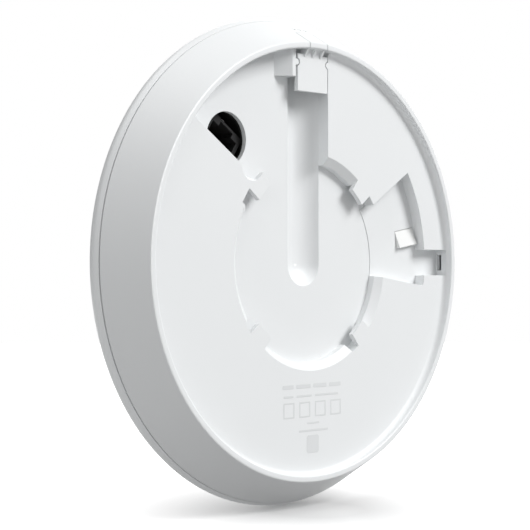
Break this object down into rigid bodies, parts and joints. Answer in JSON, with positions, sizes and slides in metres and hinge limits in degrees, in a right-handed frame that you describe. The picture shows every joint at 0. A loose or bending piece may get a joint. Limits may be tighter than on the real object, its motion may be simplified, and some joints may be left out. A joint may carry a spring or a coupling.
{
  "type": "ceiling network camera",
  "caption": "Round white ceiling network camera: flared puck with a bayonet recess, cable groove and pull-off cable door on its back, and a shallow dome with an all-round lens on its front.",
  "frame": {"origin": "centre of the back rim, on the plane that lies against the ceiling or wall", "axes": "-Y points out of the back, to the ceiling or wall; +Y points out of the dome and lens; +Z points out of the cable exit, which is up when the camera hangs on a wall"},
  "size_m": [0.1596, 0.0464, 0.1596],
  "materials": {
    "white_asa": "satin",
    "white_cover": "satin",
    "white_latch": "satin",
    "black_window": "gloss",
    "front_glass": "polished",
    "element_glass": "polished",
    "filter_glass": "polished",
    "lens_black": "anodised black",
    "black_rubber": "matt",
    "black_plastic": "matt",
    "board": "solder mask",
    "aluminium": "milled",
    "steel": "plated",
    "gold": "plated",
    "chip": "moulded",
    "pad": "soft",
    "core": "taped",
    "light_guide": "frosted",
    "led": "clear"
  },
  "bodies": {
    "camera": {"back_housing": "white_asa", "latch_spring": "steel", "latch_retainer": "steel", "main_board": "board", "board_screws": "steel", "heat_spreader": "aluminium", "processor": "chip", "thermal_pad": "pad", "memory_chips": "chip", "power_transformer": "core", "capacitors": "aluminium", "shield_cans": "steel", "port_boot": "black_rubber", "network_jack": "black_plastic", "jack_contacts": "gold", "reset_switch": "black_plastic", "sensor_board": "board", "board_spacers": "gold", "sensor_connector": "black_plastic", "image_sensor": "chip", "lens_holder": "black_plastic", "filter_coil": "core", "lens_barrel": "lens_black", "lens_front": "front_glass", "lens_elements": "element_glass", "front_cover": "white_cover", "cover_seal": "black_rubber", "light_ring": "light_guide", "front_bezel": "black_window", "night_board": "board", "night_lights": "led", "speaker": "black_plastic", "microphone": "steel", "microphone_seal": "black_rubber"},
    "cable_door": {"cable_door": "white_asa"},
    "lock_latch": {"lock_latch": "white_latch"},
    "reset_button": {"reset_button": "white_latch"},
    "filter_slider": {"filter_slider": "black_plastic", "filter_glasses": "filter_glass"}
  },
  "joints": [
    {"name": "cable_door_pull", "type": "slide", "parent": "camera", "child": "cable_door", "axis": [0, -1, 0], "range_m": [0, 0.022]},
    {"name": "lock_latch_press", "type": "slide", "parent": "camera", "child": "lock_latch", "axis": [0, 1, 0], "range_m": [0, 0.0018], "stiffness_N_per_m": 600, "springref_m": -0.001, "deforming": ["latch_spring"]},
    {"name": "reset_press", "type": "slide", "parent": "camera", "child": "reset_button", "axis": [0, 1, 0], "range_m": [0, 0.0003], "stiffness_N_per_m": 2000, "springref_m": -0.0003},
    {"name": "filter_shift", "type": "slide", "parent": "camera", "child": "filter_slider", "axis": [1, 0, 0], "range_m": [0, 0.0098]}
  ]
}
